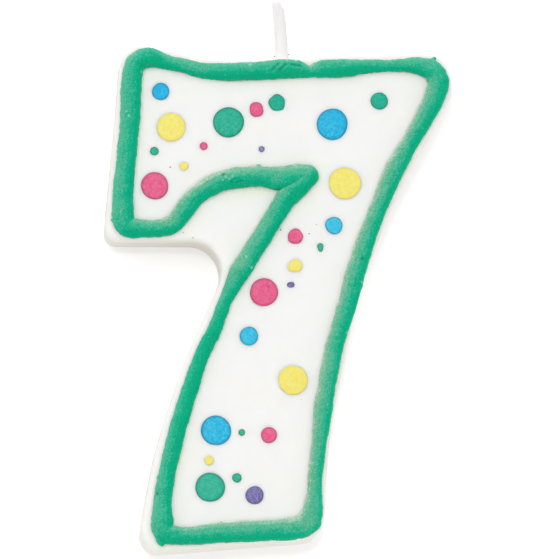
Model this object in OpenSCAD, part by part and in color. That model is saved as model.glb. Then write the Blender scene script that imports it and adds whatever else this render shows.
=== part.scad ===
// Number birthday candle in the shape of a 7.
// A cast wax slab carries a raised bead of green wax round its face, 28 thin dots of coloured wax
// and a wax-coated cotton wick that runs down inside the stem.
// The candle stands on its foot. +Z is up, the face looks along -Y and the origin is under the
// middle of the candle. All lengths are in millimetres.

/* [Figure] */
// Height of the figure from the foot to its highest corner
figure_h = 76; // [60:1:95]
// Thickness of the cast slab
slab_t = 9; // [6:0.5:14]

/* [Bead] */
// Height of the bead above the face where it is widest
bead_h = 1.5; // [0.8:0.1:2]
// Width of the bead against its drawn width
bead_fullness = 1; // [0.8:0.05:1.2]

/* [Wick] */
// Diameter of the coated wick
wick_d = 1.8; // [1.4:0.1:2.4]
// Diameter of the cotton core
core_d = 1; // [0.6:0.1:1.2]
// Length of wick that stands above the slab
wick_free = 9.4; // [4:0.2:14]
// Share of the height under the wick that it runs down inside the slab
wick_share = 0.75; // [0.3:0.05:0.75]

/* [Dots] */
// Thickness of a dot's film of wax
dot_t = 0.12; // [0.1:0.01:0.3]
// Size of the dots against their drawn size
dot_size = 1; // [0.7:0.05:1.1]

/* [Hidden] */
// Largest turn between two points of a rounded corner, in degrees
ARC_STEP = 10;
// Fewest steps in a bend, and steps in one span of the bead's route
BEND_STEPS = 4;
SPAN_STEPS = 2;
// Sides of a lump of the bead, and the turn between two rings of its dome
LUMP_SIDES = 16;
LUMP_STEP = 30;
// Roundness of the wick and the dots
ROUND_FN = 48;
// Cutters run past the faces that they cut by this much.
PAST = 1;

WAX_WHITE = [0.95, 0.95, 0.93];
WICK_WHITE = [0.97, 0.96, 0.95];
COTTON = [0.90, 0.88, 0.82];
BEAD_GREEN = [0.10, 0.66, 0.51];
DOT_COLOURS = [
    ["blue", [0.16, 0.69, 0.90]],
    ["yellow", [0.98, 0.89, 0.44]],
    ["pink", [0.91, 0.29, 0.51]],
    ["green", [0.20, 0.71, 0.56]],
    ["purple", [0.52, 0.47, 0.71]],
];

// The drawing below is about 76 high and is scaled to figure_h.
// The foot is trimmed flat at this z.
FOOT_Z = -0.12;
// Slab outline before that, anticlockwise from the left end of the foot. Each corner: x, z, radius.
SLAB = [
    [-14.8, -0.28, 3],
    [12.9, -0.28, 3.2],
    [15.3, 15.5, 80],
    [21.6, 36.2, 60],
    [27.5, 48.4, 60],
    [38.3, 65, 3],
    [37.6, 71, 3.6],
    [2, 72.5, 20],
    [-10.5, 76.7, 3.2],
    [-12.2, 66.5, 60],
    [-15.7, 46.75, 1.7],
    [4.35, 45.15, 4.6],
    [-4.8, 29, 70],
    [-10.9, 14.6, 60],
];

// Middle of the bead, clockwise from the top left corner. Each point: x, z, width.
TOP = [
    [-8.9, 73, 2.9],
    [-6.6, 73.6, 2.9],
    [-4.8, 72.9, 2.3],
    [-2.1, 72.1, 2],
    [0.5, 71.2, 2.2],
    [3, 70.7, 2.6],
    [8.4, 70.4, 2.7],
    [13.9, 70.4, 2.9],
    [15.6, 70.1, 2.5],
    [17, 69.7, 1.7],
    [18.8, 70, 2.6],
    [22.4, 69.8, 2.6],
    [26.5, 69.8, 1.9],
    [31, 69.6, 1.9],
];
RIGHT = [
    [33.3, 69.4, 2.5],
    [35.3, 68.5, 3],
    [36.1, 66.8, 3.1],
    [35.4, 64.6, 3],
    [33.9, 62.1, 3],
    [31.4, 58.4, 2.5],
    [28.6, 54.4, 2.9],
    [26.1, 49.7, 2.6],
    [24, 45.4, 2.5],
    [21.3, 39.3, 2.9],
    [19.6, 34.3, 2.8],
    [17, 28, 2.6],
    [15.2, 21.4, 2.6],
    [14.7, 19.6, 2.8],
    [13.6, 14.4, 2.3],
    [12.5, 8.7, 2.1],
    [12, 5.2, 2.5],
];
FOOT = [
    [11.1, 2.4, 3.4],
    [8.7, 1.5, 3.4],
    [5.1, 1.5, 3.2],
    [-2.5, 1.7, 3],
    [-6, 1.6, 2.6],
    [-9.4, 1.8, 2.7],
];
LEFT = [
    [-10.8, 2.6, 2.9],
    [-10.8, 4.9, 2.9],
    [-10, 9.3, 2.6],
    [-8.7, 13.4, 2.4],
    [-7, 18.4, 2.5],
    [-4.9, 23.5, 2.4],
    [-2.9, 28.1, 2.2],
    [-0.4, 32.4, 2.1],
    [1.4, 36.2, 2],
    [2.8, 38.5, 2.4],
    [4, 40.5, 3],
    [7.8, 45.5, 2.9],
    [11.6, 50.6, 3],
];
INNER = [
    [15.2, 54.1, 3.5],
    [11.7, 53.9, 3.5],
    [8.2, 54.5, 3],
    [4.8, 54.6, 3.2],
    [1.6, 54, 3],
    [-2, 52, 2.9],
    [-5, 48.6, 2.8],
    [-7.3, 47.9, 2.6],
];
ARM = [
    [-10.3, 48, 2.7],
    [-12.4, 48.5, 3],
    [-12.8, 50.7, 3.1],
    [-12.1, 55.5, 3],
    [-10.9, 61.8, 2.9],
    [-10.1, 66.9, 3],
    [-9.8, 70.3, 3],
];
ROUTE = concat(TOP, RIGHT, FOOT, LEFT, INNER, ARM);

// The dots, from the top of the figure to its foot. Each: colour, x, z, radius.
DOTS = [
    ["blue", -5.5, 68.4, 1.3],
    ["green", 11.7, 65.4, 1.25],
    ["pink", 8.6, 64.6, 1.1],
    ["green", 27, 64.5, 1.3],
    ["green", 4.2, 63, 2.3],
    ["yellow", -4.4, 62.9, 2.15],
    ["blue", 19.7, 61.5, 2.35],
    ["pink", 0.2, 59.7, 0.6],
    ["green", -7.2, 59.5, 0.65],
    ["purple", 8.8, 58.6, 0.45],
    ["yellow", -3, 56.9, 0.65],
    ["pink", -7.6, 54.3, 2.05],
    ["yellow", 20.8, 52.5, 2.4],
    ["blue", 18.6, 46.3, 1.3],
    ["pink", 12.7, 45.1, 1.15],
    ["green", 16.3, 43.2, 0.55],
    ["yellow", 12.3, 40.7, 1],
    ["purple", 11.4, 37.9, 0.5],
    ["pink", 7.3, 37.1, 2.1],
    ["blue", 4.5, 30.7, 1.4],
    ["yellow", 10.5, 23.6, 2.2],
    ["blue", -1.6, 17, 2.25],
    ["green", 2.2, 16.4, 0.5],
    ["pink", 6.2, 15.7, 1.2],
    ["yellow", -3, 12.6, 0.7],
    ["green", 0.9, 9.7, 0.7],
    ["green", -3.2, 8.6, 2.2],
    ["purple", 3.3, 6.9, 1.35],
];

// Point of the top edge where the wick comes out: x, z
WICK_ROOT = [13.35, 72.03];

// ---- Points and curves ----

function unit(v) = v / norm(v);
function xz(p) = [p[0], p[1]];
function wrapped(list, i) = list[(i + len(list)) % len(list)];
function turn_of(a, b) = acos(max(-1, min(1, a * b)));
function side_of(a, b) = sign(a[0] * b[1] - a[1] * b[0]);
function rotated(v, angle) =
    [v[0] * cos(angle) - v[1] * sin(angle), v[0] * sin(angle) + v[1] * cos(angle)];

// The arc that rounds the corner p between its neighbours. Its radius is the corner's third value.
function corner_arc(before, p, after) =
    let (
        into = unit(xz(p) - xz(before)),
        away = unit(xz(after) - xz(p)),
        turn = turn_of(into, away),
        side = side_of(into, away),
        start = xz(p) - into * p[2] * tan(turn / 2),
        centre = start + rotated(into, 90 * side) * p[2],
        steps = max(BEND_STEPS, ceil(turn / ARC_STEP))
    )
    [for (i = [0 : steps]) centre + rotated(start - centre, side * turn * i / steps)];

function rounded(corners) = [
    for (i = [0 : len(corners) - 1])
        each corner_arc(wrapped(corners, i - 1), corners[i], wrapped(corners, i + 1))
];

// The point at share t of the span from b to c, on a smooth curve through a, b, c and d
function on_span(a, b, c, d, t) =
    0.5 * (2 * b + (c - a) * t + (2 * a - 5 * b + 4 * c - d) * t * t
    + (3 * b - a - 3 * c + d) * t * t * t);

function smooth_loop(points, steps) = [
    for (i = [0 : len(points) - 1], k = [0 : steps - 1])
        on_span(
            wrapped(points, i - 1), points[i],
            wrapped(points, i + 1), wrapped(points, i + 2), k / steps
        )
];

// ---- Derived places ----

OUTLINE = rounded(SLAB);
LOW_X = min([for (p = OUTLINE) p[0]]);
HIGH_X = max([for (p = OUTLINE) p[0]]);
HIGH_Z = max([for (p = OUTLINE) p[1]]);
SCALE = figure_h / (HIGH_Z - FOOT_Z);
// The slab and the bead together are centred front to back.
FACE_Y = (bead_h - slab_t) / 2;
BACK_Y = FACE_Y + slab_t;
WIDEST = max([for (p = ROUTE) p[2]]);

// A point of the drawing, scaled and moved so that the figure stands over the origin
function placed(p) = [p[0] - (LOW_X + HIGH_X) / 2, p[1] - FOOT_Z] * SCALE;

WICK_AT = placed(WICK_ROOT);
WICK_DEPTH = WICK_AT[1] * wick_share;
// The wick is a straight rod up to here, and ends in half a ball.
WICK_STRAIGHT = wick_free - wick_d / 2;

// Stands a flat drawing in x and z upright: its back is at y and it is depth thick.
module upright(y, depth) {
    translate([0, y, 0]) rotate([90, 0, 0]) linear_extrude(depth) children();
}

// Puts its children on the wick's axis, with z = 0 where the wick leaves the slab.
module on_wick() {
    translate([WICK_AT[0], (FACE_Y + BACK_Y) / 2, WICK_AT[1]]) children();
}

// ---- Sub-parts ----

module wax_body() {
    color(WAX_WHITE)
        difference() {
            upright(BACK_Y, slab_t) polygon([for (p = OUTLINE) placed(p)]);
            on_wick()
                translate([0, 0, -WICK_DEPTH])
                    cylinder(h = WICK_DEPTH + PAST, d = wick_d, $fn = ROUND_FN);
            translate([-figure_h, -slab_t, -figure_h]) cube([2 * figure_h, 2 * slab_t, figure_h]);
        }
}

// One domed lump of the bead, flat against the face. Each point of the route has one.
module lump(p) {
    r = p[2] / 2 * bead_fullness * SCALE;
    h = bead_h * p[2] / WIDEST;
    at = placed(p);
    translate([at[0], FACE_Y, at[1]])
        rotate([90, 0, 0])
            rotate_extrude($fn = LUMP_SIDES)
                polygon([[0, 0], for (a = [0 : LUMP_STEP : 90]) [r * cos(a), h * sin(a)]]);
}

module outline_bead() {
    path = smooth_loop(ROUTE, SPAN_STEPS);
    color(BEAD_GREEN)
        for (i = [0 : len(path) - 1])
            hull() {
                lump(path[i]);
                lump(wrapped(path, i + 1));
            }
}

module wick_core() {
    color(COTTON)
        on_wick()
            translate([0, 0, -WICK_DEPTH])
                cylinder(h = WICK_DEPTH + WICK_STRAIGHT, d = core_d, $fn = ROUND_FN);
}

module wick_coat() {
    color(WICK_WHITE)
        on_wick()
            difference() {
                union() {
                    translate([0, 0, -WICK_DEPTH])
                        cylinder(h = WICK_DEPTH + WICK_STRAIGHT, d = wick_d, $fn = ROUND_FN);
                    translate([0, 0, WICK_STRAIGHT]) sphere(d = wick_d, $fn = ROUND_FN);
                }
                translate([0, 0, -WICK_DEPTH - PAST])
                    cylinder(h = WICK_DEPTH + PAST + WICK_STRAIGHT, d = core_d, $fn = ROUND_FN);
            }
}

function dot_name(i) = str("dot_", i < 9 ? "0" : "", i + 1, "_", DOTS[i][0]);
function dot_colour(name) = DOT_COLOURS[search([name], DOT_COLOURS)[0]][1];

module dot(i) {
    d = DOTS[i];
    color(dot_colour(d[0]))
        upright(FACE_Y, dot_t)
            translate(placed([d[1], d[2]])) circle(r = d[3] * dot_size * SCALE, $fn = ROUND_FN);
}

// ---- Assembly ----

wax_body();
outline_bead();
wick_core();
wick_coat();
for (i = [0 : len(DOTS) - 1])
    dot(i);
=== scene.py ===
import math

import bmesh
import bpy
import numpy as np
from mathutils import Matrix, Vector, noise
from mathutils.bvhtree import BVHTree
from mathutils.geometry import delaunay_2d_cdt
from mathutils.kdtree import KDTree

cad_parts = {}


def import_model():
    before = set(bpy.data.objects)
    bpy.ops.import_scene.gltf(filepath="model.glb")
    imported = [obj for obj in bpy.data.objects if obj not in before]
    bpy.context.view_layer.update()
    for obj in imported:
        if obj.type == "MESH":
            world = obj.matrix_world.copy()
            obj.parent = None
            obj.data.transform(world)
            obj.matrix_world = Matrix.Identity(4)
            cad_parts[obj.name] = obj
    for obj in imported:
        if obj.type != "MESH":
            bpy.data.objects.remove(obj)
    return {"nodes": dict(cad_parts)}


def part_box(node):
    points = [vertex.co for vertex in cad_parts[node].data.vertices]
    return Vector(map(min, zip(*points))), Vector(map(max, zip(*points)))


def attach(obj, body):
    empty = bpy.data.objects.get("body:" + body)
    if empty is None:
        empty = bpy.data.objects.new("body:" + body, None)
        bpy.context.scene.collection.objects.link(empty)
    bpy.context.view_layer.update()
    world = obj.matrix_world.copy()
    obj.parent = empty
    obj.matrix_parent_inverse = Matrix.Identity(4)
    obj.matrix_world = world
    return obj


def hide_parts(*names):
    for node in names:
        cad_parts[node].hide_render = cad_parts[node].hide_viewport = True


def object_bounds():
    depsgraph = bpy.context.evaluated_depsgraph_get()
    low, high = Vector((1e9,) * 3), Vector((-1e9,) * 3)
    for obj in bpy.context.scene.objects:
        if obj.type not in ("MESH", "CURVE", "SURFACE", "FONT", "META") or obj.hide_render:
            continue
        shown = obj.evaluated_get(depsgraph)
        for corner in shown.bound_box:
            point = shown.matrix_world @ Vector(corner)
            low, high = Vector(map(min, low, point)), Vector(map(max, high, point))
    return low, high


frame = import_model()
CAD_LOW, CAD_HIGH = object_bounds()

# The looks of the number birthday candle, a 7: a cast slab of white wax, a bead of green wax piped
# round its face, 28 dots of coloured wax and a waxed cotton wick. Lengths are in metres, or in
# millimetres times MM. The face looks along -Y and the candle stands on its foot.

MM = 0.001
RNG = np.random.default_rng(7)

FACE_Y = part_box("wax_body")[0].y
BACK_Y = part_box("wax_body")[1].y

# Slab: spacing of its points, the rounding of its front and back edges, and the dip of its back
OUTLINE_STEP = 0.3 * MM
FACE_STEP = 0.5 * MM
RIM_RADIUS = 0.75 * MM
BACK_RADIUS = 1.1 * MM
BACK_DISH = 0.25 * MM

# Bead: the size of its mesh in millimetres, and how far its base goes into the slab
VOXEL = 0.16
BEAD_SINK = 0.15 * MM

# The bead is painted paler towards this side, the upper left, where the light falls: painted light, partly
# wax drawn out thin.
PALE_SIDE = Vector((-0.5, 0.0, 0.87)).normalized()

# Camera: where it looks from, and how wide it sees at the candle
VIEW_AZIMUTH = math.radians(-4.7)
VIEW_ELEVATION = math.radians(-7.4)
VIEW_ROLL = math.radians(4.97)
VIEW_DISTANCE = 1.4
VIEW_WIDTH = 83.5 * MM
# What the camera looks at, from the middle of the candle's face.
VIEW_SHIFT = Vector((-1.62 * MM, 0, -1.77 * MM))
SENSOR = 36.0


# ---- Small helpers ----

def srgb(red, green, blue):
    """A colour as seen, each part from 0 to 255, as the linear colour that a shader takes."""
    def linear(c):
        c = c / 255
        return c / 12.92 if c <= 0.04045 else ((c + 0.055) / 1.055) ** 2.4
    return (linear(red), linear(green), linear(blue), 1.0)


def wave(point, size, seed):
    """Smooth noise from about -1 to 1, with lumps of that size. The seed picks another pattern."""
    return noise.noise(Vector(point) / size + Vector((seed * 7.3, seed * 3.1, -seed * 5.7)))


def smooth_step(low, high, value):
    """From 0 to 1 as the value goes from low to high, easing in and out."""
    t = np.clip((np.asarray(value, float) - low) / (high - low), 0, 1)
    return t * t * (3 - 2 * t)


def new_mesh(name, verts, faces):
    """An object with outward normals and smooth shading."""
    mesh = bpy.data.meshes.new(name)
    mesh.from_pydata([tuple(v) for v in verts], [], [tuple(int(i) for i in f) for f in faces])
    bm = bmesh.new()
    bm.from_mesh(mesh)
    bmesh.ops.recalc_face_normals(bm, faces=bm.faces)
    bm.to_mesh(mesh)
    bm.free()
    mesh.shade_smooth()
    obj = bpy.data.objects.new(name, mesh)
    bpy.context.scene.collection.objects.link(obj)
    return obj


def point_values(obj, name, values):
    """Stores one number for each vertex, which a material reads by name."""
    layer = obj.data.attributes.new(name, "FLOAT", "POINT")
    layer.data.foreach_set("value", np.asarray(values, np.float32))


def coordinates(mesh):
    flat = np.zeros(len(mesh.vertices) * 3)
    mesh.vertices.foreach_get("co", flat)
    return flat.reshape(-1, 3)


def normals(mesh):
    flat = np.zeros(len(mesh.vertices) * 3)
    mesh.vertex_normals.foreach_get("vector", flat)
    return flat.reshape(-1, 3)


def dress(obj, material, slot, *nodes):
    """Finishes a piece: its material, the body it rides on and the CAD nodes it stands for. The slot is not
    used.
    """
    obj.data.materials.clear()
    obj.data.materials.append(material)
    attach(obj, "root")
    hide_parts(*nodes)


# ---- Materials ----

class Shader:
    """A node material being built. A method that makes a value or a colour returns its output socket."""

    def __init__(self, name):
        self.material = bpy.data.materials.new(name)
        self.material.use_nodes = True
        self.tree = self.material.node_tree
        self.tree.nodes.clear()
        self.surface = self.add("ShaderNodeBsdfPrincipled")
        output = self.add("ShaderNodeOutputMaterial")
        self.join(self.surface.outputs[0], output.inputs["Surface"])
        self.place = self.add("ShaderNodeTexCoord").outputs["Object"]

    def add(self, kind):
        return self.tree.nodes.new(kind)

    def join(self, source, target):
        self.tree.links.new(source, target)

    def feed(self, socket, value):
        """Sets a socket to a plain value, or links it to another node's output."""
        if isinstance(value, bpy.types.NodeSocket):
            self.join(value, socket)
        else:
            socket.default_value = value

    def attribute(self, name):
        node = self.add("ShaderNodeAttribute")
        node.attribute_name = name
        return node.outputs["Fac"]

    def noise(self, size, detail=3.0, roughness=0.5, stretch=(1, 1, 1)):
        """Cloudy noise from 0 to 1, with lumps of that size in metres, drawn out along an axis by stretch."""
        mapping = self.add("ShaderNodeMapping")
        mapping.inputs["Scale"].default_value = [1 / s for s in stretch]
        self.join(self.place, mapping.inputs["Vector"])
        node = self.add("ShaderNodeTexNoise")
        node.inputs["Scale"].default_value = 1 / size
        node.inputs["Detail"].default_value = detail
        node.inputs["Roughness"].default_value = roughness
        self.join(mapping.outputs[0], node.inputs["Vector"])
        return node.outputs["Fac"]

    def cells(self, size):
        """Distance from 0 up to the nearest of scattered points that lie about that far apart."""
        node = self.add("ShaderNodeTexVoronoi")
        node.inputs["Scale"].default_value = 1 / size
        self.join(self.place, node.inputs["Vector"])
        return node.outputs["Distance"]

    def math(self, operation, a, b=0.0, clamp=False):
        node = self.add("ShaderNodeMath")
        node.operation = operation
        node.use_clamp = clamp
        self.feed(node.inputs[0], a)
        self.feed(node.inputs[1], b)
        return node.outputs[0]

    def ranged(self, value, low, high, to_low=0.0, to_high=1.0):
        node = self.add("ShaderNodeMapRange")
        self.feed(node.inputs["Value"], value)
        node.inputs["From Min"].default_value = low
        node.inputs["From Max"].default_value = high
        node.inputs["To Min"].default_value = to_low
        node.inputs["To Max"].default_value = to_high
        return node.outputs["Result"]

    def ramp(self, value, stops):
        """Colours by a value from 0 to 1. Each stop: position, colour."""
        node = self.add("ShaderNodeValToRGB")
        elements = node.color_ramp.elements
        for element, (position, colour) in ((elements[0], stops[0]), (elements[1], stops[-1])):
            element.position = position
            element.color = colour
        for position, colour in stops[1:-1]:
            elements.new(position).color = colour
        self.feed(node.inputs["Fac"], value)
        return node.outputs["Color"]

    def mix(self, share, a, b):
        node = self.add("ShaderNodeMix")
        node.data_type = "RGBA"
        self.feed(node.inputs["Factor"], share)
        self.feed(node.inputs["A"], a)
        self.feed(node.inputs["B"], b)
        return node.outputs["Result"]

    def bump(self, height, distance):
        """Adds relief of that height in metres to the surface."""
        node = self.add("ShaderNodeBump")
        node.inputs["Distance"].default_value = distance
        node.inputs["Strength"].default_value = 1.0
        self.join(height, node.inputs["Height"])
        if self.surface.inputs["Normal"].is_linked:
            self.join(self.surface.inputs["Normal"].links[0].from_socket, node.inputs["Normal"])
        self.join(node.outputs["Normal"], self.surface.inputs["Normal"])

    def wax(self, colour, roughness, depth, through=(1.0, 0.75, 0.55)):
        """Soft satin wax: light goes in to that depth in metres, and further in some colours than others."""
        self.feed(self.surface.inputs["Base Color"], colour)
        self.feed(self.surface.inputs["Roughness"], roughness)
        self.surface.inputs["Subsurface Weight"].default_value = 1.0
        self.surface.inputs["Subsurface Radius"].default_value = through
        self.surface.inputs["Subsurface Scale"].default_value = depth
        self.surface.inputs["IOR"].default_value = 1.44


def white_wax():
    """Cast wax: nearly white, with painted light and shade on its walls, pale warm near the face and darker
    towards the back; warmer and greener near the bead, partly colour from the bead's wax and partly a painted
    glow of green light through it; fine cast marks.
    """
    s = Shader("white_wax")
    cloudy = s.noise(4 * MM, 4)
    base = s.mix(s.ranged(cloudy, 0.35, 0.7), srgb(251, 246, 244), srgb(249, 244, 241))
    # Painted light and shade on the walls: pale warm near the face, darker towards the back and more so above
    # the foot.
    wall = s.mix(s.attribute("deep"), srgb(253, 249, 234), srgb(238, 234, 226))
    base = s.mix(s.attribute("wall"), base, wall)
    # Warm and green near the bead, most on the side away from the light: partly colour from the bead's wax,
    # partly a painted glow of green light through it.
    warm_bleed_and_glow = s.math("MULTIPLY", s.attribute("warm_bleed_and_glow"), s.ranged(s.noise(1.1 * MM), 0.3, 0.7, 0.6, 1.0))
    base = s.mix(warm_bleed_and_glow, base, srgb(250, 246, 228))
    grain = s.ranged(s.noise(0.28 * MM, 2), 0.42, 0.62, 0.15, 1.0)
    base = s.mix(s.math("MULTIPLY", s.attribute("green_bleed_and_glow"), grain), base, srgb(200, 232, 212))
    pits = s.ranged(s.cells(3.1 * MM), 0.03, 0.06, 1.0, 0.0)
    pits = s.math("MULTIPLY", pits, s.attribute("back"))
    base = s.mix(s.math("MULTIPLY", pits, 0.35), base, srgb(190, 182, 166))
    rough = s.ranged(s.noise(1.6 * MM, 4), 0.3, 0.7, 0.36, 0.5)
    s.wax(base, rough, 1.2 * MM, (1.0, 0.94, 0.88))
    s.bump(s.noise(0.5 * MM, 4), 0.012 * MM)
    s.bump(s.noise(3.5 * MM, 2), 0.05 * MM)
    s.bump(s.math("SUBTRACT", 1.0, pits), 0.12 * MM)
    return s.material


def green_wax():
    """Piped wax, mottled, with painted light and shade: deep green on the flank away from the light and milky
    on the flank towards it, partly where the wax was drawn out thin, with painted shade at its edge and in
    its pinholes and creases."""
    s = Shader("green_wax")
    grain = s.ranged(s.noise(0.24 * MM, 3, 0.6), 0.3, 0.7, -0.11, 0.11)
    cloud = s.ranged(s.noise(1.5 * MM, 3), 0.3, 0.7, -0.04, 0.04)
    # The flank value carries painted light and shade: deep green where the bead faces away from the light,
    # pale where it faces it.
    shade = s.math("ADD", s.math("ADD", s.attribute("flank"), grain), cloud)
    colour = s.ramp(shade, [
        (0.0, srgb(0, 184, 141)),
        (0.30, srgb(0, 188, 145)),
        (0.41, srgb(4, 191, 150)),
        (0.49, srgb(47, 195, 157)),
        (0.56, srgb(81, 198, 163)),
        (0.64, srgb(94, 199, 164)),
        (0.72, srgb(109, 200, 164)),
        (0.80, srgb(125, 201, 168)),
        (0.88, srgb(146, 205, 175)),
        (0.95, srgb(170, 211, 185)),
        (1.0, srgb(198, 221, 200)),
    ])
    fine = s.ranged(s.noise(0.22 * MM, 3, 0.6), 0.42, 0.62, 0.0, 0.44)
    colour = s.mix(fine, colour, srgb(0, 140, 104))
    patchy = s.ranged(s.noise(0.9 * MM, 3), 0.35, 0.6, 0.5, 1.0)
    # Painted shade: darker where the bead meets the face and on its steep sides, most on the side away from
    # the light.
    colour = s.mix(s.math("MULTIPLY", s.attribute("edge"), patchy), colour, srgb(8, 122, 90))
    # Painted shade in the pinholes and creases.
    colour = s.mix(s.attribute("pore"), colour, srgb(6, 104, 78))
    # Scattered pale specks, with the listed flecks.
    pale_specks = s.ranged(s.cells(1.25 * MM), 0.035, 0.08, 0.45, 0.0)
    colour = s.mix(s.math("MAXIMUM", pale_specks, s.attribute("fleck")), colour, srgb(168, 232, 206))
    rough = s.ranged(s.noise(0.7 * MM, 4), 0.3, 0.7, 0.38, 0.56)
    s.wax(colour, rough, 0.3 * MM, (0.4, 1.0, 0.8))
    s.surface.inputs["Specular IOR Level"].default_value = 0.1
    s.bump(s.noise(0.25 * MM, 3), 0.07 * MM)
    s.bump(s.noise(0.6 * MM, 4), 0.12 * MM)
    return s.material


# The colours of each kind of dot: its body, where it is thin, and its rim, a darker colour for its mottle and
# for the painted shade at its rim.
DOT_COLOURS = {
    "blue": (srgb(0, 187, 232), srgb(78, 211, 235), srgb(22, 134, 170)),
    "yellow": (srgb(255, 230, 109), srgb(255, 241, 154), srgb(251, 224, 120)),
    "pink": (srgb(236, 94, 141), srgb(238, 130, 174), srgb(188, 78, 118)),
    "green": (srgb(2, 185, 158), srgb(70, 196, 167), srgb(14, 136, 108)),
    "purple": (srgb(122, 112, 172), srgb(164, 158, 200), srgb(98, 92, 146)),
}

# How thin and pale each film is, from 0 to 1. The others are THIN_AS_A_RULE.
DOT_THIN = {
    "dot_01_blue": 0.1,
    "dot_02_green": 0.2,
    "dot_04_green": 0.15,
    "dot_05_green": 0.45,
    "dot_07_blue": 0.3,
    "dot_09_green": 0.8,
    "dot_10_purple": 0.95,
    "dot_14_blue": 0.85,
    "dot_16_green": 0.75,
    "dot_20_blue": 0.75,
    "dot_22_blue": 0.5,
    "dot_23_green": 0.85,
    "dot_26_green": 0.7,
    "dot_27_green": 0.7,
    "dot_28_purple": 0.35,
}
THIN_AS_A_RULE = 0.4


def dot_wax(name):
    """A thin film of coloured wax: mottled where it is thin, and darker at the rim, a painted shade."""
    body, light, rim = DOT_COLOURS[name]
    s = Shader(name + "_wax")
    mottle = s.ranged(s.noise(0.34 * MM, 4, 0.7), 0.38, 0.64, -0.5, 0.5)
    thin = s.math("ADD", s.attribute("thin"), mottle, True)
    colour = s.mix(thin, body, light)
    colour = s.mix(s.ranged(s.noise(0.2 * MM, 3, 0.6), 0.42, 0.62, 0.0, 0.24), colour, rim)
    # Painted shade round the dot's rim.
    edge = s.math("MULTIPLY", s.attribute("rim"), s.ranged(s.noise(0.8 * MM), 0.3, 0.7, 0.45, 0.95))
    colour = s.mix(edge, colour, rim)
    rough = s.ranged(s.noise(0.5 * MM, 3), 0.3, 0.7, 0.36, 0.52)
    s.wax(colour, rough, 0.15 * MM, (1.0, 1.0, 1.0))
    s.surface.inputs["Specular IOR Level"].default_value = 0.25
    s.bump(s.noise(0.18 * MM, 3), 0.01 * MM)
    s.bump(s.noise(0.55 * MM, 3), 0.02 * MM)
    return s.material


def wick_wax():
    """The thin wax on the wick: almost white, with the strands showing through as faint streaks."""
    s = Shader("wick_wax")
    streak = s.ranged(s.noise(0.3 * MM, 3, 0.5, (1, 1, 9)), 0.35, 0.7)
    colour = s.mix(streak, srgb(244, 242, 243), srgb(238, 236, 237))
    rough = s.ranged(s.noise(0.5 * MM, 3), 0.3, 0.7, 0.4, 0.55)
    s.wax(colour, rough, 0.08 * MM, (1.0, 1.0, 1.0))
    s.bump(s.noise(0.2 * MM, 3, 0.5, (1, 1, 6)), 0.012 * MM)
    return s.material


def cotton():
    """Braided cotton: fluffy off-white yarn."""
    s = Shader("cotton")
    fibre = s.noise(0.05 * MM, 4, 0.6, (1, 1, 5))
    s.feed(s.surface.inputs["Base Color"], s.mix(fibre, srgb(226, 220, 204), srgb(244, 240, 228)))
    s.feed(s.surface.inputs["Roughness"], s.ranged(fibre, 0.3, 0.7, 0.85, 0.98))
    s.bump(fibre, 0.02 * MM)
    return s.material


def crumb_and_shadow_wax():
    """Specks of scorched wax, and the dark specks of painted shadow at the wick's root."""
    s = Shader("crumb_and_shadow_wax")
    colour = s.mix(s.noise(0.1 * MM, 2), srgb(96, 88, 82), srgb(150, 132, 118))
    s.wax(colour, s.ranged(s.noise(0.05 * MM), 0.3, 0.7, 0.5, 0.7), 0.05 * MM)
    return s.material


# ---- Slab ----

def front_outline(node):
    """The outline of a CAD node's flat front face, as (x, z) points anticlockwise seen from the front."""
    bm = bmesh.new()
    bm.from_mesh(frame["nodes"][node].data)
    bmesh.ops.remove_doubles(bm, verts=bm.verts, dist=1e-7)
    front = min(v.co.y for v in bm.verts)
    flat = {f for f in bm.faces if all(abs(v.co.y - front) < 1e-6 for v in f.verts)}
    rim = [e for e in bm.edges if sum(f in flat for f in e.link_faces) == 1]
    beside = {}
    for e in rim:
        for v, other in (e.verts, reversed(e.verts)):
            beside.setdefault(v, []).append(other)
    start = min(beside, key=lambda v: (v.co.z, v.co.x))
    chain = [start]
    came, here = None, start
    while True:
        step = next(v for v in beside[here] if v is not came)
        if step is start:
            break
        chain.append(step)
        came, here = here, step
    points = np.array([(v.co.x, v.co.z) for v in chain])
    bm.free()
    after = np.roll(points, -1, 0)
    area = (points[:, 0] * after[:, 1] - after[:, 0] * points[:, 1]).sum()
    return points if area > 0 else points[::-1]


def evenly(points, step):
    """A closed line's points at equal steps, lightly smoothed so that its corners turn without facets."""
    closed = np.vstack([points, points[:1]])
    along = np.concatenate([[0], np.cumsum(np.linalg.norm(np.diff(closed, axis=0), axis=1))])
    count = round(along[-1] / step)
    at = np.arange(count) * along[-1] / count
    line = np.column_stack([np.interp(at, along, closed[:, k]) for k in (0, 1)])
    for _ in range(6):
        line = line / 2 + (np.roll(line, 1, 0) + np.roll(line, -1, 0)) / 4
    return line


def outward(line):
    """Unit normals that point out of an anticlockwise line."""
    along = np.roll(line, -1, 0) - np.roll(line, 1, 0)
    along /= np.linalg.norm(along, axis=1)[:, None]
    return np.column_stack([along[:, 1], -along[:, 0]])


def inside(line, points):
    """Which points are inside a closed line, by counting crossings."""
    found = np.zeros(len(points), bool)
    for (x0, z0), (x1, z1) in zip(line, np.roll(line, -1, 0)):
        if z0 == z1:
            continue
        crosses = (z0 > points[:, 1]) != (z1 > points[:, 1])
        at = x0 + (points[:, 1] - z0) * (x1 - x0) / (z1 - z0)
        found ^= crosses & (points[:, 0] < at)
    return found


def line_tree(line):
    """A tree that finds the nearest point of a line of (x, z) points."""
    tree = KDTree(len(line))
    for i, p in enumerate(line):
        tree.insert((p[0], 0, p[1]), i)
    tree.balance()
    return tree


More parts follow.
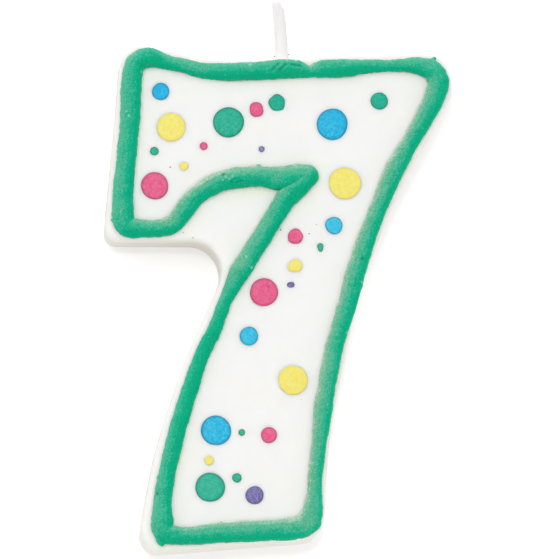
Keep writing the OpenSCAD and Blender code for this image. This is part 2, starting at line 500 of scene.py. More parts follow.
def filled(line, step):
    """Points inside a closed line on a grid, and triangles that join them to each other and to the line."""
    low, high = line.min(0), line.max(0)
    xs, zs = np.arange(low[0], high[0], step), np.arange(low[1], high[1], step)
    grid = np.array([(x, z) for x in xs for z in zs])
    grid = grid + RNG.uniform(-0.12, 0.12, grid.shape) * step
    tree = line_tree(line)
    grid = grid[inside(line, grid)]
    clear = [tree.find((x, 0, z))[2] > 0.45 * step for x, z in grid]
    grid = grid[clear]
    points = [Vector(p) / MM for p in np.vstack([line, grid])]
    loop = [(i, (i + 1) % len(line)) for i in range(len(line))]
    made, _, faces, came_from, _, _ = delaunay_2d_cdt(points, loop, [list(range(len(line)))], 1, 1e-6)
    return [Vector(p) * MM for p in made], faces, [c[0] for c in came_from]


def rim_profile():
    """The slab's edge from its face round to its back. Each ring: distance in from the outline, y."""
    rings = []
    for turn in np.linspace(0, math.pi / 2, 8):
        rings.append((RIM_RADIUS * (1 - math.sin(turn)), FACE_Y + RIM_RADIUS * (1 - math.cos(turn))))
    wall_top, wall_end = FACE_Y + RIM_RADIUS, BACK_Y - BACK_RADIUS
    for share in np.linspace(0, 1, 16)[1:-1]:
        rings.append((0.0, wall_top + (wall_end - wall_top) * share))
    for turn in np.linspace(0, math.pi / 2, 5):
        rings.append((BACK_RADIUS * (1 - math.cos(turn)), wall_end + BACK_RADIUS * math.sin(turn)))
    return rings


def wall_wave(x, y, z):
    """How far the cast edge stands proud of its outline at a point."""
    return 0.05 * MM * wave((x, y * 0.6, z), 5 * MM, 1) + 0.02 * MM * wave((x, y, z), 1.2 * MM, 2)


def slab(line, bead):
    """The cast slab: rounded front edge, slightly uneven walls and face, and a shallow dish in its back."""
    out = outward(line)
    rings = rim_profile()
    verts = []
    for inset, y in rings:
        for (x, z), (nx, nz) in zip(line, out):
            shift = wall_wave(x, y, z) - inset
            verts.append(Vector((x + nx * shift, y, z + nz * shift)))
    count = len(line)
    faces = []
    for r in range(len(rings) - 1):
        for i in range(count):
            j = (i + 1) % count
            faces.append((r * count + i, r * count + j, (r + 1) * count + j, (r + 1) * count + i))
    for ring, y in ((0, FACE_Y), (len(rings) - 1, BACK_Y)):
        first = ring * count
        edge = np.array([(v.x, v.z) for v in verts[first:first + count]])
        points, triangles, source = filled(edge, FACE_STEP)
        number = []
        for p, s in zip(points, source):
            if s < count:
                number.append(first + s)
            else:
                number.append(len(verts))
                verts.append(Vector((p.x, y, p.y)))
        faces += [[number[i] for i in t] for t in triangles]
    obj = new_mesh("wax_slab", verts, faces)
    shape_faces(obj, line)
    tint_face(obj, bead)
    return obj


def shape_faces(obj, line):
    """Moves the flat face and back by small casting waves, which fade out at the rim."""
    tree = line_tree(line)
    for v in obj.data.vertices:
        x, y, z = v.co
        depth = tree.find((x, 0, z))[2]
        if abs(y - FACE_Y) < 1e-6:
            fade = float(smooth_step(RIM_RADIUS, 3 * MM, depth))
            v.co.y += fade * (0.05 * MM * wave((x, 0, z), 9 * MM, 3)
                              + 0.012 * MM * wave((x, 0, z), 1.6 * MM, 4))
        elif abs(y - BACK_Y) < 1e-6:
            fade = float(smooth_step(BACK_RADIUS, 5 * MM, depth))
            pour = 0.5 + 0.5 * wave((x, 0, z), 12 * MM, 5)
            v.co.y -= fade * (BACK_DISH * pour + 0.03 * MM * abs(wave((x, 0, z), 2.2 * MM, 6)))


# The face is greener under the bead's inner bend, partly stain and partly a painted green glow: x, z and
# radius.
BEND_STAIN_AND_GLOW = (-4.3 * MM, 52.4 * MM, 3.0 * MM)


def tint_face(obj, bead):
    """Marks where the bead's colour tints the face, partly colour from the bead's wax and partly a painted
    glow of green light through it, most on the side away from the pale flank, and which points are on the
    walls and the back."""
    tree = BVHTree.FromObject(bead, bpy.context.evaluated_depsgraph_get())
    warm_bleed_and_glow, green_bleed_and_glow = [], []
    for v in obj.data.vertices:
        if v.co.y > FACE_Y + RIM_RADIUS:
            warm_bleed_and_glow.append(0.0)
            green_bleed_and_glow.append(0.0)
            continue
        near, _, _, far = tree.find_nearest(Vector((v.co.x, FACE_Y - 0.3 * MM, v.co.z)))
        away = Vector((v.co.x - near.x, 0, v.co.z - near.z))
        under = 0.5 - 0.5 * away.normalized().dot(PALE_SIDE) if away.length > 0 else 0.5
        from_bend = math.hypot(v.co.x - BEND_STAIN_AND_GLOW[0], v.co.z - BEND_STAIN_AND_GLOW[1])
        stain_and_glow = math.exp(-from_bend ** 2 / BEND_STAIN_AND_GLOW[2] ** 2)
        patch = 0.55 + 0.6 * wave(v.co, 6 * MM, 8) + 1.6 * stain_and_glow
        warm_bleed_and_glow.append(min(1.0, 1.1 * max(0.0, patch) * (0.25 + 0.75 * under) * math.exp(-far / (1.3 * MM))))
        green_bleed_and_glow.append(min(1.0, 0.6 * max(0.0, patch) * (0.1 + 0.9 * under) * math.exp(-far / (0.5 * MM))))
    point_values(obj, "warm_bleed_and_glow", warm_bleed_and_glow)
    point_values(obj, "green_bleed_and_glow", green_bleed_and_glow)
    depth = np.array([v.co.y - FACE_Y for v in obj.data.vertices])
    back = smooth_step(BACK_Y - FACE_Y - BACK_RADIUS, BACK_Y - FACE_Y - 0.5 * MM, depth)
    point_values(obj, "back", back)
    point_values(obj, "wall", smooth_step(0.2 * MM, 0.9 * MM, depth) * (1 - back))
    # The painted shade on the walls deepens towards the back, more above the foot than on it.
    above_foot = smooth_step(2 * MM, 12 * MM, [v.co.z for v in obj.data.vertices])
    point_values(obj, "deep", smooth_step(0, 4 * MM, depth) * (0.3 + 0.7 * above_foot))


# ---- Bead ----

# Small nibs of wax where the piping started, stopped or dragged. Each: x, z, length, width and
# the direction it points in degrees, anticlockwise from +X. The lengths are in millimetres.
NIBS = [
    (24.3, 70.4, 0.5, 0.3, 45),
    (-22.0, 11.0, 0.6, 0.22, 200),
    (-22.75, 1.25, 0.95, 0.45, 302),
    (-25.7, 49.9, 0.25, 0.3, 190),
    (-3.3, 56.2, 0.4, 0.3, 120),
    (0.95, 12.1, 0.3, 0.22, 170),
    (-13.4, 3.2, 0.35, 0.22, 90),
]


def spots(points, places):
    """How near each point is to the nearest of the places in x and z: 1 at its centre, fading with radius."""
    found = np.zeros(len(points))
    for x, z, radius in places:
        far = np.hypot(points[:, 0] - x * MM, points[:, 2] - z * MM) / (radius * MM)
        found = np.maximum(found, np.exp(-far ** 2))
    return found


# Places where the bead was piped fuller, or drawn in where the amount is below 0. Each: x, z, radius
# and amount in millimetres.
SWELLS = [
    (-19.8, 71.6, 1.2, 0.12),
    (-20.9, 4.2, 1.2, 0.12),
    (-0.9, 3.9, 1.2, 0.15),
    (-8.5, 1.9, 5.0, -0.05),
    (-22.2, 50.7, 1.6, 0.14),
    (-20.3, 4.1, 1.5, 0.14),
    (25.9, 67.9, 4.0, 0.08),
    (-6.1, 56.5, 2.2, -0.08),
    (-1.0, 52.4, 1.2, 0.18),
    (-6.3, 45.3, 4.0, -0.05),
]


def lumps(points):
    """How far the piped bead stands out or draws in at each point, in millimetres: the hand's wobble,
    a fine waxy skin, and nibbled edges close to the face."""
    found = []
    for p in points:
        low = float(1 - smooth_step(0.3, 0.9, FACE_Y / MM - p[1]))
        wobble = 0.08 + 0.11 * wave(p, 3.4, 11) + 0.07 * wave(p, 1.2, 12) + 0.03 * wave(p, 0.5, 13)
        found.append(wobble + 0.06 * low * wave(p, 0.42, 14))
    for x, z, radius, amount in SWELLS:
        found += amount * spots(points * MM, [(x, z, radius)])
    return np.array(found)


def bead_soup():
    """The CAD bead and its nibs as one mesh in millimetres, ready to be made into one skin."""
    bm = bmesh.new()
    bm.from_mesh(frame["nodes"]["outline_bead"].data)
    bmesh.ops.remove_doubles(bm, verts=bm.verts, dist=1e-7)
    bmesh.ops.scale(bm, vec=(1 / MM,) * 3, verts=bm.verts)
    for x, z, length, width, angle in NIBS:
        turn = Matrix.Rotation(-math.radians(angle), 4, "Y")
        size = Matrix.Diagonal((length, width, width, 1))
        place = Matrix.Translation((x, FACE_Y / MM - 0.25 * width, z))
        bmesh.ops.create_icosphere(bm, subdivisions=2, radius=1.0, matrix=place @ turn @ size)
    mesh = bpy.data.meshes.new("bead_soup")
    bm.to_mesh(mesh)
    bm.free()
    return mesh


def one_skin(mesh, voxel):
    """Remeshes a mesh into one closed skin and returns its vertices and faces."""
    obj = bpy.data.objects.new("skin", mesh)
    bpy.context.scene.collection.objects.link(obj)
    remesh = obj.modifiers.new("skin", "REMESH")
    remesh.mode = "VOXEL"
    remesh.voxel_size = voxel
    result = obj.evaluated_get(bpy.context.evaluated_depsgraph_get()).to_mesh()
    points = coordinates(result)
    faces = [list(p.vertices) for p in result.polygons]
    pairs = np.zeros(len(result.edges) * 2, int)
    result.edges.foreach_get("vertices", pairs)
    bpy.data.objects.remove(obj)
    bpy.data.meshes.remove(mesh)
    return points, faces, pairs.reshape(-1, 2)


def relaxed(points, pairs, rounds):
    """Smooths a mesh without shrinking it: each round pulls in and pushes back out."""
    share = np.zeros(len(points))
    np.add.at(share, pairs.ravel(), 1)
    for step in [0.55, -0.56] * rounds:
        total = np.zeros_like(points)
        np.add.at(total, pairs[:, 0], points[pairs[:, 1]])
        np.add.at(total, pairs[:, 1], points[pairs[:, 0]])
        points = points + step * (total / share[:, None] - points)
    return points


# Pinholes and light flecks in the bead. Each: x, z and radius in millimetres.
PORES = [
    (11.0, 41.0, 0.22),
    (9.9, 71.6, 0.26),
    (-8.7, 55.3, 0.2),
    (-7.6, 54.1, 0.2),
    (-22.6, 8.3, 0.22),
]
FLECKS = [
    (-3.3, 71.6, 0.2),
    (2.3, 71.9, 0.16),
    (3.6, 71.7, 0.14),
    (-8.4, 54.9, 0.16),
    (-7.9, 54.6, 0.14),
    (-8.9, 54.5, 0.12),
    (-7.4, 54.9, 0.12),
    (-22.4, 65.9, 0.14),
    (-22.1, 65.2, 0.16),
    (-19.6, 71.8, 0.14),
    (-18.9, 71.4, 0.12),
    (-6.4, 42.7, 0.16),
    (-5.7, 41.1, 0.16),
    (7.7, 30.2, 0.16),
    (10.6, 37.6, 0.14),
    (6.3, 52.6, 0.14),
]

# Creases that the nozzle left in the bead. Each: x and z of both ends, and width, in millimetres.
CREASES = [
    (0.0, 70.5, 1.0, 71.4, 0.22),
    (1.1, 70.4, 2.2, 71.3, 0.2),
    (3.0, 71.1, 4.4, 70.7, 0.2),
    (-6.9, 53.9, -5.9, 54.1, 0.16),
]


def creases(points):
    """How near each point is to the nearest crease: 1 on it, fading with its width."""
    found = np.zeros(len(points))
    at = points[:, [0, 2]] / MM
    for x0, z0, x1, z1, width in CREASES:
        start, along = np.array((x0, z0)), np.array((x1 - x0, z1 - z0))
        share = np.clip(((at - start) @ along) / (along @ along), 0, 1)
        far = np.linalg.norm(at - start - share[:, None] * along, axis=1) / width
        found = np.maximum(found, np.exp(-far ** 2))
    return found


# Places where the bead's flank is painted paler than elsewhere, more painted light. Each: x, z, radius and by
# how much.
PALE_SPOTS = [
    (-21.6, 74.6, 2.6, 0.35),
    (-15.0, 73.6, 1.6, 0.3),
    (-10.0, 55.6, 4.0, 0.15),
    (-3.0, 3.6, 3.0, 0.15),
]
# Places where the whole bead is painted paler, or deeper where the amount is below 0: the painted light and
# shade moved by place. Each: x, z, radius and amount.
TINTS = [
    (-19.0, 74.7, 2.5, -0.10),
    (-11.8, 72.2, 2.5, 0.10),
    (-6.6, 71.1, 4.0, -0.04),
    (1.7, 71.2, 3.0, -0.08),
    (9.1, 70.7, 4.0, -0.06),
    (5.5, 71.2, 0.9, 0.27),
    (25.0, 63.0, 4.0, 0.06),
    (16.2, 53.2, 6.0, 0.10),
    (9.0, 40.0, 6.0, 0.06),
    (3.9, 24.5, 5.0, 0.12),
    (2.2, 16.0, 5.0, 0.10),
    (0.8, 8.0, 5.0, 0.12),
    (-0.2, 1.0, 2.4, 0.28),
    (-1.2, 3.9, 1.6, -0.12),
    (-8.5, 1.8, 6.0, 0.06),
    (3.6, 54.6, 1.6, 0.10),
    (-0.6, 52.9, 1.3, 0.18),
    (1.0, 51.9, 1.5, -0.10),
    (-5.1, 54.8, 1.5, 0.10),
    (-11.0, 53.5, 3.0, 0.06),
    (-17.7, 48.8, 2.5, 0.08),
    (-6.3, 41.3, 3.0, 0.14),
    (-3.5, 45.5, 3.0, 0.06),
    (-13.4, 31.0, 5.0, -0.20),
    (-16.0, 25.0, 5.0, -0.10),
    (-18.7, 19.2, 4.0, -0.10),
    (-20.2, 13.3, 4.0, -0.05),
]
# How far the painted light of the pale side shows on flanks that face the middle of the figure, and on the
# others.
INNER_FLANK = 1.12
OUTER_FLANK = 0.6


def pale_lit_side_of(points, out, line):
    """How far each point of the bead leans to the pale side, from 0 to 1: painted light on the flanks that
    face the light, partly thin wax. The wax is palest on flanks that face the middle of the figure, and less
    so on those that face its outline."""
    tree = line_tree(line)
    nearest = np.array([tree.find((x, 0, z))[0] for x, _, z in points])
    inward = (points - nearest) * (1, 0, 1)
    inward /= np.linalg.norm(inward, axis=1)[:, None]
    faces_in = smooth_step(-0.5, 0.5, (inward * out).sum(1))
    gain = OUTER_FLANK + (INNER_FLANK - OUTER_FLANK) * faces_in
    for x, z, radius, more in PALE_SPOTS:
        gain += more * spots(points, [(x, z, radius)])
    lean = out @ np.array(PALE_SIDE)
    flank = 0.5 + 0.5 * np.where(lean > 0, lean * gain, lean)
    for x, z, radius, amount in TINTS:
        flank += amount * spots(points, [(x, z, radius)])
    return flank


def piped_bead(line):
    """The green line: one skin with its pinholes, flecks and creases, sunk into the slab at its base."""
    points, faces, pairs = one_skin(bead_soup(), VOXEL)
    points = relaxed(points, pairs, 8)
    rough = new_mesh("bead_rough", points, faces)
    out = normals(rough.data)
    bpy.data.objects.remove(rough)
    points = points + out * lumps(points)[:, None]
    points = points * MM
    front = smooth_step(0.2, 0.6, -out[:, 1])
    pore, fleck = front * spots(points, PORES), front * spots(points, FLECKS)
    crease = front * creases(points)
    points = points + out * (0.05 * MM * fleck - 0.14 * MM * pore - 0.16 * MM * crease)[:, None]
    height = (FACE_Y - points[:, 1])
    base = 1 - smooth_step(0.02 * MM, 0.2 * MM, height)
    points[:, 1] += base * BEAD_SINK
    obj = new_mesh("piped_bead", points, faces)
    out = normals(obj.data)
    low_side = smooth_step(-0.5, 0.1, -(out @ np.array(PALE_SIDE)))
    # Where the bead gets painted shade: its steep sides, most away from the light, and its base where it
    # meets the face.
    edge = 1 - smooth_step(0.05, 0.35, -out[:, 1])
    # The painted light and shade of the bead's flanks.
    point_values(obj, "flank", pale_lit_side_of(points, out, line))
    point_values(obj, "edge", np.maximum(edge * (0.1 + 0.3 * low_side), 0.7 * base))
    # Painted shade in the pinholes and creases.
    point_values(obj, "pore", np.maximum(0.7 * pore, 0.3 * crease))
    point_values(obj, "fleck", 0.8 * fleck)
    return obj


# ---- Dots ----

DOT_SIDES = 72
DOT_RINGS = 9
# How far a dot stands over the face, and how far it goes into the slab.
DOT_HEIGHT = 0.17 * MM
DOT_SINK = 0.06 * MM

# Dots that are far from round. Each wave of the rim: times round, share of the radius, angle of a crest.
DOT_WAVES = {
    "dot_02_green": [(3, 0.04, 70), (5, 0.04, 20)],
    "dot_03_pink": [(1, -0.05, 0), (2, -0.04, 0), (4, -0.03, 0)],
    "dot_07_blue": [(1, -0.02, -45), (2, -0.02, -45)],
    "dot_14_blue": [(2, 0.03, 120), (3, 0.03, 40)],
    "dot_15_pink": [(3, 0.04, 90), (5, 0.025, 0)],
    "dot_16_green": [(2, 0.16, 90), (3, 0.08, 30)],
    "dot_17_yellow": [(2, 0.07, 20), (3, 0.05, 200)],
    "dot_18_purple": [(2, 0.15, 0)],
}


def dot_film(node):
    """One dot: a thin film with an uneven rim, rounded at its edge and slightly domed."""
    low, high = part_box(node)
    centre = (low + high) / 2
    radius = (high.x - low.x) / 2
    seed = int(node.split("_")[1])
    waves = DOT_WAVES.get(node, []) + [(2, 0.012, seed * 40), (3, 0.010, seed * 75)]
    small = 1 - float(smooth_step(0.5 * MM, 1.5 * MM, radius))

    def reach(angle):
        swell = sum(size * math.cos(times * (angle - math.radians(crest))) for times, size, crest in waves)
        way = Vector((math.cos(angle), 0, math.sin(angle)))
        swell += (0.012 + 0.03 * small) * wave(way * 1.6, 1.0, seed)
        swell += 0.006 * wave(way * 7, 1.0, seed + 40)
        return radius * (1 + swell)

    def point(r, angle, y):
        return Vector((centre.x + r * math.cos(angle), y, centre.z + r * math.sin(angle)))

    def height(share):
        edge = (1 - share ** 5) ** 0.5
        return edge * (0.82 + 0.10 * share * share) + 0.08 * edge * (1 - share * share)

    verts, faces, rim = [], [], []
    turns = [2 * math.pi * k / DOT_SIDES for k in range(DOT_SIDES)]
    shares = [math.sin(math.pi / 2 * r / DOT_RINGS) for r in range(1, DOT_RINGS + 1)]
    top = DOT_HEIGHT * (1 - 0.35 * small)
    verts.append(Vector((centre.x, FACE_Y - top * height(0), centre.z)))
    rim.append(0.0)
    for share in shares:
        for angle in turns:
            r = reach(angle) * share
            lift = top * height(share)
            if share < 0.999:
                lift += 0.008 * MM * wave((r * math.cos(angle), 0, r * math.sin(angle)), 0.5 * MM, seed)
            verts.append(point(r, angle, FACE_Y - lift))
            # How far in the painted rim shade reaches, further on small dots.
            rim.append(float(smooth_step(0.80 - 0.3 * small, 1.0, share)))
    for angle in turns:
        verts.append(point(reach(angle), angle, FACE_Y + DOT_SINK))
        rim.append(1.0)
    verts.append(Vector((centre.x, FACE_Y + DOT_SINK, centre.z)))
    rim.append(1.0)
    last = len(verts) - 1
    for k in range(DOT_SIDES):
        n = (k + 1) % DOT_SIDES
        faces.append((0, 1 + k, 1 + n))
        for r in range(DOT_RINGS):
            a, b = 1 + r * DOT_SIDES, 1 + (r + 1) * DOT_SIDES
            faces.append((a + k, b + k, b + n, a + n))
        faces.append((last, last - DOT_SIDES + n, last - DOT_SIDES + k))
    obj = new_mesh(node.replace("dot", "wax_dot"), verts, faces)
    point_values(obj, "rim", rim)
    point_values(obj, "thin", [DOT_THIN.get(node, THIN_AS_A_RULE)] * len(verts))
    return obj


# Crumbs on the face and the dots, and two dark specks at the wick's root, behind the face, which are painted
# shadow in the crevices where the wick meets the slab. Each: x, z, radius and height over the face, in
# millimetres.
CRUMBS_AND_SHADOW_SPECKS = [
    (-16.5, 57.2, 0.11, 0),
    (-14.0, 46.3, 0.09, 0),
    (-15.4, 47.2, 0.09, 0),
    (0.1, 20.8, 0.06, 0),
    (-0.8, 46.5, 0.13, 0),
    (3.4, 45.6, 0.10, 0),
    (4.6, 46.9, 0.07, 0),
    (-3.4, 38.1, 0.13, 0.16),
    # These two dark specks are painted shadow in the crevices where the wick meets the slab.
    (0.90, 73.45, 0.13, -4.6),
    (3.08, 73.55, 0.13, -4.6),
]


def crumbs_and_shadow_specks():
    """Crumbs and the painted shadow specks at the wick's root as one piece: lumpy grains, flattened towards
    the face.
    """
    bm = bmesh.new()
    for k, (x, z, radius, height) in enumerate(CRUMBS_AND_SHADOW_SPECKS):
        place = Matrix.Translation((x * MM, FACE_Y - height * MM, z * MM))
        size = Matrix.Diagonal((radius * MM, 0.5 * radius * MM, 0.8 * radius * MM, 1))
        made = bmesh.ops.create_icosphere(bm, subdivisions=3, radius=1.0, matrix=place @ size)
        for v in made["verts"]:
            v.co += (v.co - place.translation) * 0.3 * wave(v.co, 0.1 * MM, k)
    mesh = bpy.data.meshes.new("crumbs_and_shadow_specks")
    bm.to_mesh(mesh)
    bm.free()
    mesh.shade_smooth()
    obj = bpy.data.objects.new("crumbs_and_shadow_specks", mesh)
    bpy.context.scene.collection.objects.link(obj)
    return obj


# ---- Wick ----

WICK_SIDES = 48
# How much of the wick stands above the slab, as in the CAD.
WICK_FREE = 9.4 * MM
# The free wick bows to the right: these times its rise and its rise squared, from 0 at the root to 1.
BOW = (0.54 * MM, -0.46 * MM)
# Lengths over which the strands under the wax and the braid of the core go once round.
STRAND_TURN = 2.6 * MM
BRAID_TURN = 1.9 * MM
# Relief of the strands under the wax, and how far the wax spreads at the wick's root and how fast
# that fades.
STRAND_RELIEF = 0.012 * MM
ROOT_FLARE = 0.42 * MM
ROOT_FLARE_FADE = 0.4 * MM
# The tip is cut at a slant over this length, steeper on its right than on its left.
TIP_CUT = 1.5 * MM
RIGHT_SLANT = 1.0 * MM
LEFT_SLANT = 0.5 * MM
# The tip stays this far under the top of the CAD wick.
TIP_GAP = 0.1 * MM
# Radius of the coat's last ring, which closes its tip.
TIP_RING = 0.02 * MM


def revolved(rings, sides, shift):
    """Points on rings round the wick's axis, and the faces between one ring and the next. Each ring:
    radius, z. shift(radius, angle, z) gives the point's own radius, dx and dz."""
    verts, faces = [], []
    for radius, z in rings:
        for k in range(sides):
            angle = 2 * math.pi * k / sides
            own, dx, dz = shift(radius, angle, z)
            verts.append(Vector((own * math.cos(angle) + dx, own * math.sin(angle), z + dz)))
    for r in range(len(rings) - 1):
        for k in range(sides):
            n = (k + 1) % sides
            faces.append((r * sides + k, r * sides + n, (r + 1) * sides + n, (r + 1) * sides + k))
    return verts, faces


def skin_of(name, rings, closed, centre, shift):
    """Turns rings round the wick's axis into a piece. A closed one joins its last ring to its first;
    an open one is capped at both ends."""
    verts, faces = revolved(rings, WICK_SIDES, shift)
    verts = [v + centre for v in verts]
    last = (len(rings) - 1) * WICK_SIDES
    if closed:
        for k in range(WICK_SIDES):
            n = (k + 1) % WICK_SIDES
            faces.append((last + k, last + n, n, k))
    else:
        faces.append(tuple(reversed(range(WICK_SIDES))))
        faces.append(tuple(last + k for k in range(WICK_SIDES)))
    return new_mesh(name, verts, faces)


def wick_parts(root_z):
    """The wax coat, a tube closed over the core at its top, and the braided core inside it. The free
    part of both bows a little to the right."""
    low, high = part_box("wick_coat")
    core_low, core_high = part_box("wick_core")
    centre = Vector(((low.x + high.x) / 2, (low.y + high.y) / 2, 0))
    radius = (high.x - low.x) / 2
    core_radius = (core_high.x - core_low.x) / 2
    tip = high.z

    def lean(z):
        rise = max(0.0, (z - root_z) / (tip - root_z))
        return BOW[0] * rise + BOW[1] * rise * rise

    def coat_shift(own, angle, z):
        if own <= core_radius * 1.02:
            return own, lean(z), 0.0
        twist = z / STRAND_TURN * 2 * math.pi
        strands = STRAND_RELIEF * (math.cos(3 * angle + twist) + math.cos(3 * angle - twist))
        skin = 0.03 * MM * wave((math.cos(angle), math.sin(angle), z / (3 * MM)), 1.0, 21)
        flare = 0.0
        if z > root_z - 1 * MM:
            flare = ROOT_FLARE * math.exp(-max(0.0, z - root_z) / ROOT_FLARE_FADE)
        tilt = RIGHT_SLANT if math.cos(angle) > 0 else LEFT_SLANT
        slant = -tilt * math.cos(angle) * float(smooth_step(tip - TIP_CUT, tip, z))
        share = min(1.0, own / radius)
        return own + share * (strands + skin + flare), lean(z), slant * share

    outer = [(radius, low.z + k * 2 * MM) for k in range(int((root_z - 2 * MM - low.z) / (2 * MM)) + 1)]
    for z in np.arange(root_z - 1.0 * MM, tip - 0.9 * MM, 0.12 * MM):
        rise = max(0.0, (z - root_z) / (tip - root_z))
        outer.append((radius * (1.12 - 0.16 * rise), z))
    width, turn_z = outer[-1]
    for turn in np.linspace(0, math.pi / 2, 10)[1:-1]:
        outer.append((width * math.cos(turn) ** 0.8, turn_z + (tip - TIP_GAP - turn_z) * math.sin(turn)))
    outer.append((TIP_RING, tip - TIP_GAP))
    inner = [(TIP_RING, core_high.z + 0.03 * MM), (core_radius * 1.01, core_high.z + 0.02 * MM)]
    inner += [(core_radius * 1.01, z) for z in np.linspace(core_high.z, low.z, 40)]
    coat = skin_of("wick_wax_coat", outer + inner, True, centre, coat_shift)

    def core_shift(own, angle, z):
        twist = z / BRAID_TURN * 2 * math.pi
        braid = abs(math.cos(2 * angle + twist)) * abs(math.cos(2 * angle - twist))
        return own * (0.93 + 0.06 * braid), lean(z), 0.0

    levels = np.arange(core_low.z, core_high.z, 0.15 * MM)
    core = skin_of("wick_cotton_core", [(core_radius, z) for z in levels], False, centre, core_shift)
    return coat, core


# ---- Stage: the white board that the candle lies on, lights and camera ----

BOARD_SIZE = 0.6
BOARD_GAP = 0.02 * MM
# How much the board shines towards the camera, so that it looks as white as the air round it.
BOARD_GLOW = 0.21


def board(line):
    """A white board flat against the candle's back. It is one-sided and open behind the candle, so
    that the back is seen and lit from behind."""
    hole = line - outward(line) * 0.3 * MM
    half = BOARD_SIZE / 2
    middle = (CAD_LOW + CAD_HIGH) / 2
    ways = ((-1, -1), (1, -1), (1, 1), (-1, 1))
    corners = [(middle.x + sx * half, middle.z + sz * half) for sx, sz in ways]
    points = [Vector(p) / MM for p in corners + [tuple(p) for p in hole]]
    count = len(hole)
    loops = [(i, (i + 1) % 4) for i in range(4)] + [(4 + i, 4 + (i + 1) % count) for i in range(count)]
    made, _, faces, _, _, _ = delaunay_2d_cdt(points, loops, [], 0, 1e-6)
    made = np.array([tuple(p) for p in made]) * MM
    middles = np.array([made[list(f)].mean(0) for f in faces])
    kept = [f for f, covered in zip(faces, inside(hole, middles)) if not covered]
    mesh = bpy.data.meshes.new("board")
    mesh.from_pydata([(x, BACK_Y + BOARD_GAP, z) for x, z in made], [], [tuple(f) for f in kept])
    obj = bpy.data.objects.new("board", mesh)
    bpy.context.scene.collection.objects.link(obj)
    if mesh.polygons[0].normal.y > 0:
        mesh.flip_normals()
    mesh.materials.append(board_paint())


def board_paint():
    """White paint that shines a little towards the camera, and is clear from behind."""
    material = bpy.data.materials.new("board_paint")
    material.use_nodes = True
    tree = material.node_tree
    tree.nodes.clear()
    output = tree.nodes.new("ShaderNodeOutputMaterial")
    paint = tree.nodes.new("ShaderNodeBsdfDiffuse")
    paint.inputs["Color"].default_value = (0.96, 0.96, 0.96, 1)
    glow = tree.nodes.new("ShaderNodeEmission")
    path = tree.nodes.new("ShaderNodeLightPath")
    seen = tree.nodes.new("ShaderNodeMath")
    seen.operation = "MULTIPLY"
    seen.inputs[1].default_value = BOARD_GLOW
    tree.links.new(path.outputs["Is Camera Ray"], seen.inputs[0])
    tree.links.new(seen.outputs[0], glow.inputs["Strength"])
    both = tree.nodes.new("ShaderNodeAddShader")
    tree.links.new(paint.outputs[0], both.inputs[0])
    tree.links.new(glow.outputs[0], both.inputs[1])
    clear = tree.nodes.new("ShaderNodeBsdfTransparent")
    side = tree.nodes.new("ShaderNodeNewGeometry").outputs["Backfacing"]
    choice = tree.nodes.new("ShaderNodeMixShader")
    tree.links.new(side, choice.inputs[0])
    tree.links.new(both.outputs[0], choice.inputs[1])
    tree.links.new(clear.outputs[0], choice.inputs[2])
    tree.links.new(choice.outputs[0], output.inputs["Surface"])
    return material


# Round lamps. Each: name, way from the candle's middle in metres, diameter and power in watts.
LAMPS = [
    ("key", (-0.38, -0.88, 0.42), 0.6, 1.5),
    ("front", (-0.06, -1.0, 0.10), 0.1, 1.3),
    ("fill", (0.20, -0.15, -1.0), 0.6, 1.9),
    ("rear", (0.35, 0.95, 0.45), 0.8, 4.0),
]


def lights(middle):
    for name, way, size, power in LAMPS:
        lamp = bpy.data.lights.new(name, "AREA")
        lamp.shape = "DISK"
        lamp.size = size
        lamp.energy = power
        obj = bpy.data.objects.new(name, lamp)
        place = middle + Vector(way)
        obj.location = place
        obj.rotation_mode = "QUATERNION"
        obj.rotation_quaternion = (middle - place).to_track_quat("-Z", "Y")
        bpy.context.scene.collection.objects.link(obj)


# The world's brightness below and above the candle.
LIGHT_BELOW = 0.56
LIGHT_ABOVE = 0.94


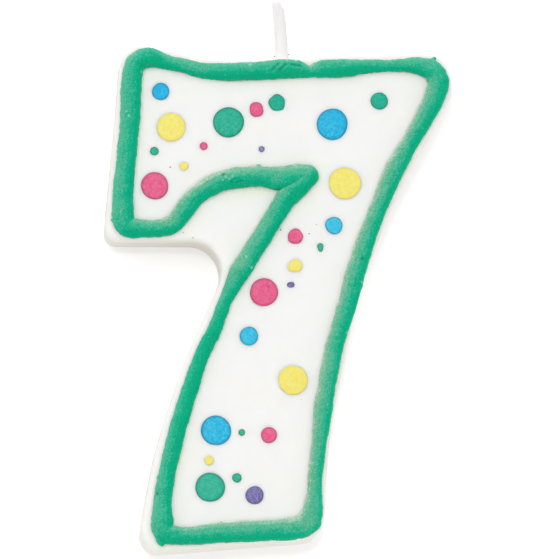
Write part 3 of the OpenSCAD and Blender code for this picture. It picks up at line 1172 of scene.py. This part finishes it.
def world():
    """White all round, and brighter above than below. What the camera sees is plain white."""
    made = bpy.data.worlds.new("white_studio")
    bpy.context.scene.world = made
    made.use_nodes = True
    tree = made.node_tree
    tree.nodes.clear()
    output = tree.nodes.new("ShaderNodeOutputWorld")
    seen = tree.nodes.new("ShaderNodeBackground")
    given = tree.nodes.new("ShaderNodeBackground")
    for node in (seen, given):
        node.inputs["Color"].default_value = (1, 1, 1, 1)
    toward = tree.nodes.new("ShaderNodeTexCoord")
    parts = tree.nodes.new("ShaderNodeSeparateXYZ")
    tree.links.new(toward.outputs["Generated"], parts.inputs[0])
    height = tree.nodes.new("ShaderNodeMapRange")
    tree.links.new(parts.outputs["Z"], height.inputs["Value"])
    height.inputs["From Min"].default_value = -0.5
    height.inputs["From Max"].default_value = 0.5
    height.inputs["To Min"].default_value = LIGHT_BELOW
    height.inputs["To Max"].default_value = LIGHT_ABOVE
    tree.links.new(height.outputs["Result"], given.inputs["Strength"])
    path = tree.nodes.new("ShaderNodeLightPath")
    choice = tree.nodes.new("ShaderNodeMixShader")
    tree.links.new(path.outputs["Is Camera Ray"], choice.inputs[0])
    tree.links.new(given.outputs[0], choice.inputs[1])
    tree.links.new(seen.outputs[0], choice.inputs[2])
    tree.links.new(choice.outputs[0], output.inputs["Surface"])


def camera(middle):
    """The photograph's angle: from slightly left and slightly below, with the candle turned a little."""
    a, e = VIEW_AZIMUTH, VIEW_ELEVATION
    back = Vector((math.sin(a) * math.cos(e), -math.cos(a) * math.cos(e), math.sin(e)))
    level = Vector((0, 0, 1)).cross(back).normalized()
    upward = back.cross(level)
    right = level * math.cos(VIEW_ROLL) - upward * math.sin(VIEW_ROLL)
    up = level * math.sin(VIEW_ROLL) + upward * math.cos(VIEW_ROLL)
    data = bpy.data.cameras.new("camera")
    data.sensor_width = SENSOR
    data.lens = SENSOR * VIEW_DISTANCE / VIEW_WIDTH
    data.clip_start = 0.05
    data.clip_end = 10
    obj = bpy.data.objects.new("camera", data)
    target = Vector((middle.x, FACE_Y, middle.z)) + VIEW_SHIFT
    place = target + back * VIEW_DISTANCE
    turn = Matrix((right, up, back)).transposed()
    obj.matrix_world = Matrix.Translation(place) @ turn.to_4x4()
    bpy.context.scene.collection.objects.link(obj)
    bpy.context.scene.camera = obj


# ---- Assembly ----

bpy.context.scene.view_settings.view_transform = "Standard"

outline = evenly(front_outline("wax_body"), OUTLINE_STEP)
bead = piped_bead(outline)
dress(slab(outline, bead), white_wax(), "white_wax", "wax_body")
dress(bead, green_wax(), "green_wax", "outline_bead")

dot_paints = {name: dot_wax(name) for name in DOT_COLOURS}
for node in sorted(n for n in frame["nodes"] if n.startswith("dot_")):
    colour_name = node.rsplit("_", 1)[1]
    dress(dot_film(node), dot_paints[colour_name], colour_name + "_dots", node)

speck_piece = crumbs_and_shadow_specks()
speck_piece.data.materials.append(crumb_and_shadow_wax())
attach(speck_piece, "root")

coat, core = wick_parts(CAD_HIGH.z - WICK_FREE)
dress(coat, wick_wax(), "wick_wax", "wick_coat")
dress(core, cotton(), "wick_cotton", "wick_core")

middle = (CAD_LOW + CAD_HIGH) / 2
board(outline)
world()
lights(middle)
camera(middle)
